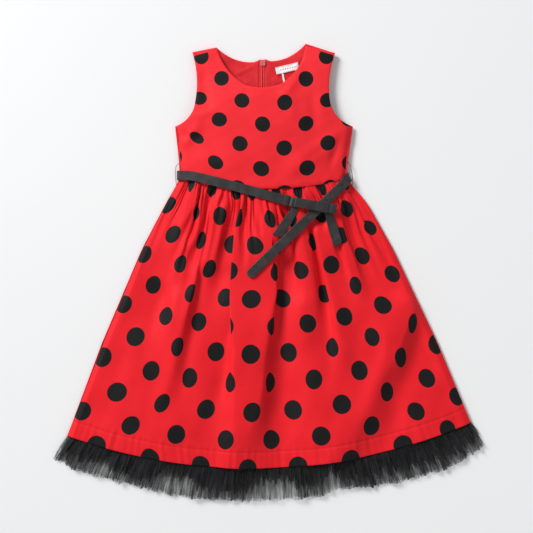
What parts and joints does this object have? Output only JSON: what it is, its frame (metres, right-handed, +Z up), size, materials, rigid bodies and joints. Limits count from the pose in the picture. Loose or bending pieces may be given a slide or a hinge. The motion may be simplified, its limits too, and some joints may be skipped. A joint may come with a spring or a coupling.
{
  "type": "child's dress",
  "caption": "Child's sleeveless dress laid flat: lined bodice, gathered skirt over tulle, centre-back zip and narrow bow belt.",
  "frame": {"origin": "on the floor, under the middle of the dress's overall box", "axes": "+Z up from the floor, +Y towards the neck, +X to the right of someone facing the front; left in a node's name is the -X side"},
  "size_m": [0.7293, 0.7803, 0.0349],
  "materials": {
    "print_cotton": "satin",
    "lining_cotton": "matte",
    "tulle": "matte",
    "zip_tape": "matte",
    "zip_coil": "satin",
    "zip_metal": "gloss",
    "label_satin": "satin",
    "thread": "matte",
    "belt_leather": "satin",
    "clasp_metal": "satin"
  },
  "bodies": {
    "dress": {"bodice_front": "print_cotton", "bodice_back_left": "print_cotton", "bodice_back_right": "print_cotton", "bodice_lining_front": "lining_cotton", "bodice_lining_back_left": "lining_cotton", "bodice_lining_back_right": "lining_cotton", "skirt_front": "print_cotton", "skirt_back_left": "print_cotton", "skirt_back_right": "print_cotton", "skirt_lining_front": "lining_cotton", "skirt_lining_back": "lining_cotton", "tulle_outer_front": "tulle", "tulle_outer_back": "tulle", "tulle_inner_front": "tulle", "tulle_inner_back": "tulle", "zip_tape_left": "zip_tape", "zip_tape_right": "zip_tape", "zip_coil_left": "zip_coil", "zip_coil_right": "zip_coil", "zip_top_stops": "zip_metal", "zip_bottom_stop": "zip_metal", "neck_label": "label_satin", "size_tab": "label_satin", "belt_loop_left": "thread", "belt_loop_right": "thread"},
    "zip_slider": {"zip_slider": "zip_metal"},
    "zip_pull": {"zip_pull": "zip_metal"},
    "belt": {"belt_strap": "belt_leather", "belt_keeper": "belt_leather", "belt_hinge_bar": "clasp_metal", "bow_tail_left": "belt_leather"},
    "bow": {"bow_clasp_plate": "clasp_metal", "bow_loops": "belt_leather", "bow_knot": "belt_leather", "bow_tail_right": "belt_leather"}
  },
  "joints": [
    {"name": "zip_run", "type": "slide", "parent": "dress", "child": "zip_slider", "axis": [0, -1, 0], "range_m": [0, 0.282]},
    {"name": "pull_flip", "type": "hinge", "parent": "zip_slider", "child": "zip_pull", "pos_m": [-0.0116, 0.3575, 0.0024], "axis": [1, 0, 0], "range_deg": [0, 170]},
    {"name": "belt_shift", "type": "slide", "parent": "dress", "child": "belt", "axis": [0, 1, 0], "range_m": [-0.001, 0.005]},
    {"name": "bow_lift", "type": "hinge", "parent": "belt", "child": "bow", "pos_m": [0.039, 0.1192, 0.02683], "axis": [-0.1633, -0.9866, 0], "range_deg": [0, 75]}
  ]
}
